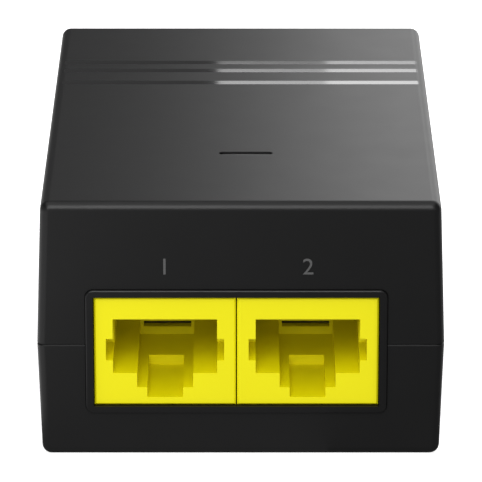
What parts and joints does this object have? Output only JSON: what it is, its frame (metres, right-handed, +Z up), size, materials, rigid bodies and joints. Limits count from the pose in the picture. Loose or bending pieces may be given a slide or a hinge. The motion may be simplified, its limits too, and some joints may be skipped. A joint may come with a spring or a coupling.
{
  "type": "poe injector",
  "caption": "Compact power-over-Ethernet injector: a black two-shell case with side-by-side yellow RJ45 jacks at the front, a mains inlet at the back and a small power supply inside.",
  "frame": {"origin": "centre of the base", "axes": "+X to the right seen from the jacks, +Y from the jacks to the mains inlet, +Z up"},
  "size_m": [0.0464, 0.0706, 0.0306],
  "materials": {
    "case_plastic": "fine satin moulding",
    "bezel_plastic": "satin moulding",
    "jack_plastic": "semi-gloss moulding",
    "insert_plastic": "moulded",
    "contact_wire": "gold-plated wire",
    "screw_steel": "zinc-plated",
    "pin_nickel": "nickel-plated",
    "board_laminate": "solder-masked glass laminate",
    "sheet_film": "thin film",
    "inlet_plastic": "moulded",
    "fuse_case": "moulded",
    "varistor_coat": "dipped coating",
    "x_capacitor_case": "moulded box",
    "choke_ferrite": "coated ferrite",
    "copper_wire": "enamelled wire",
    "chip_epoxy": "moulded epoxy",
    "can_sleeve": "shrunk sleeve",
    "core_ferrite": "sintered ferrite",
    "bobbin_plastic": "moulded",
    "winding_tape": "polyester tape",
    "sink_aluminium": "rolled plate",
    "disc_coat": "dipped coating",
    "led_body": "moulded with clear lens",
    "smoked_lens": "smoked clear moulding",
    "label_film": "blank film"
  },
  "bodies": {
    "case": {"ac_inlet_housing": "inlet_plastic", "ac_inlet_pins": "pin_nickel", "board_screws": "screw_steel", "bridge_rectifier": "chip_epoxy", "bulk_capacitor": "can_sleeve", "case_screws": "screw_steel", "circuit_board": "board_laminate", "emi_choke_core": "choke_ferrite", "emi_choke_windings": "copper_wire", "heat_sink": "sink_aluminium", "insulating_sheet": "sheet_film", "lan_contact_carrier": "insert_plastic", "lan_contact_leads": "contact_wire", "lan_jack_housing": "jack_plastic", "lan_magnetics": "chip_epoxy", "light_pipe": "smoked_lens", "lower_shell": "case_plastic", "mains_fuse": "fuse_case", "optocoupler": "chip_epoxy", "output_capacitors": "can_sleeve", "output_choke": "core_ferrite", "output_diode": "chip_epoxy", "poe_contact_carrier": "insert_plastic", "poe_contact_leads": "contact_wire", "poe_controller_ic": "chip_epoxy", "poe_jack_housing": "jack_plastic", "port_bezel": "bezel_plastic", "status_led": "led_body", "switching_transistor": "chip_epoxy", "transformer_bobbin": "bobbin_plastic", "transformer_core": "core_ferrite", "transformer_winding": "winding_tape", "underside_label": "label_film", "upper_shell": "case_plastic", "varistor": "varistor_coat", "x_capacitor": "x_capacitor_case", "y_capacitor": "disc_coat"},
    "poe_spring_contacts": {"poe_contact_beams": "contact_wire"},
    "lan_spring_contacts": {"lan_contact_beams": "contact_wire"}
  },
  "joints": [
    {"name": "poe_contact_flex", "type": "hinge", "parent": "case", "child": "poe_spring_contacts", "pos_m": [-0.00865, -0.0314, 0.01643], "axis": [1, 0, 0], "range_deg": [0, 10], "stiffness_Nm_per_rad": 0.3},
    {"name": "lan_contact_flex", "type": "hinge", "parent": "case", "child": "lan_spring_contacts", "pos_m": [0.00765, -0.0314, 0.01643], "axis": [1, 0, 0], "range_deg": [0, 10], "stiffness_Nm_per_rad": 0.3}
  ]
}
